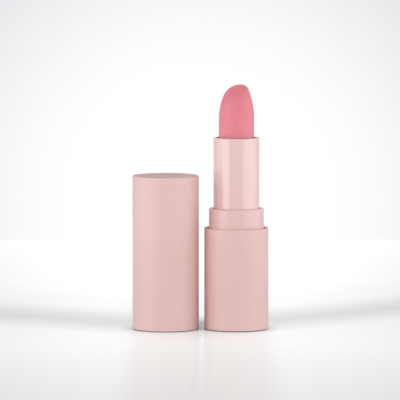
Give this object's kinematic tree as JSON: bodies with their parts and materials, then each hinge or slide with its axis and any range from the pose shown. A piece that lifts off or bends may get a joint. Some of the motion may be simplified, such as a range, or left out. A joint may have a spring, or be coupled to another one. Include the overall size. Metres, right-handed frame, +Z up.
{
  "type": "lipstick",
  "caption": "Twist-up lipstick with a raised slant-cut bullet, a bright tube on a stepped collar and base, and its straight cap standing beside it.",
  "frame": {"origin": "on the ground under the middle of the box that the standing lipstick and its cap fill together", "axes": "+Z up along the lipstick's and the cap's axes, +X from the cap towards the lipstick, +Y away from the viewer of the picture"},
  "size_m": [0.0454, 0.0222, 0.0816],
  "materials": {
    "wax": "satin wax",
    "cup_plastic": "satin",
    "mechanism_plastic": "satin",
    "rubber": "matt",
    "bright_pink": "bright anodised",
    "collar_pink": "glossy lacquer",
    "moulded_plastic": "satin",
    "steel": "plain",
    "satin_pink": "satin lacquer"
  },
  "bodies": {
    "base": {"base_shell": "satin_pink", "base_insert": "moulded_plastic", "base_weight": "steel", "slotted_tube": "mechanism_plastic", "drag_ring": "rubber"},
    "shell": {"outer_tube": "bright_pink", "collar_sleeve": "collar_pink", "collar_core": "moulded_plastic", "cam_sleeve": "mechanism_plastic"},
    "carrier": {"carrier_cup": "cup_plastic", "bullet": "wax"},
    "cap": {"cap_shell": "satin_pink", "cap_liner": "moulded_plastic"}
  },
  "joints": [
    {"name": "shell_twist", "type": "hinge", "parent": "base", "child": "shell", "pos_m": [0.01199, 0, 0], "axis": [0, 0, 1], "range_deg": [-90, 407.25]},
    {"name": "cup_slide", "type": "slide", "parent": "base", "child": "carrier", "axis": [0, 0, 1], "range_m": [-0.0182, 0.0041]},
    {"name": "cap_lift", "type": "slide", "parent": "base", "child": "cap", "axis": [0, 0, 1], "range_m": [0, 0.085]}
  ],
  "couplings": [
    {"joint": "cup_slide", "follows": "shell_twist", "m_per_rad": -0.0025465}
  ]
}
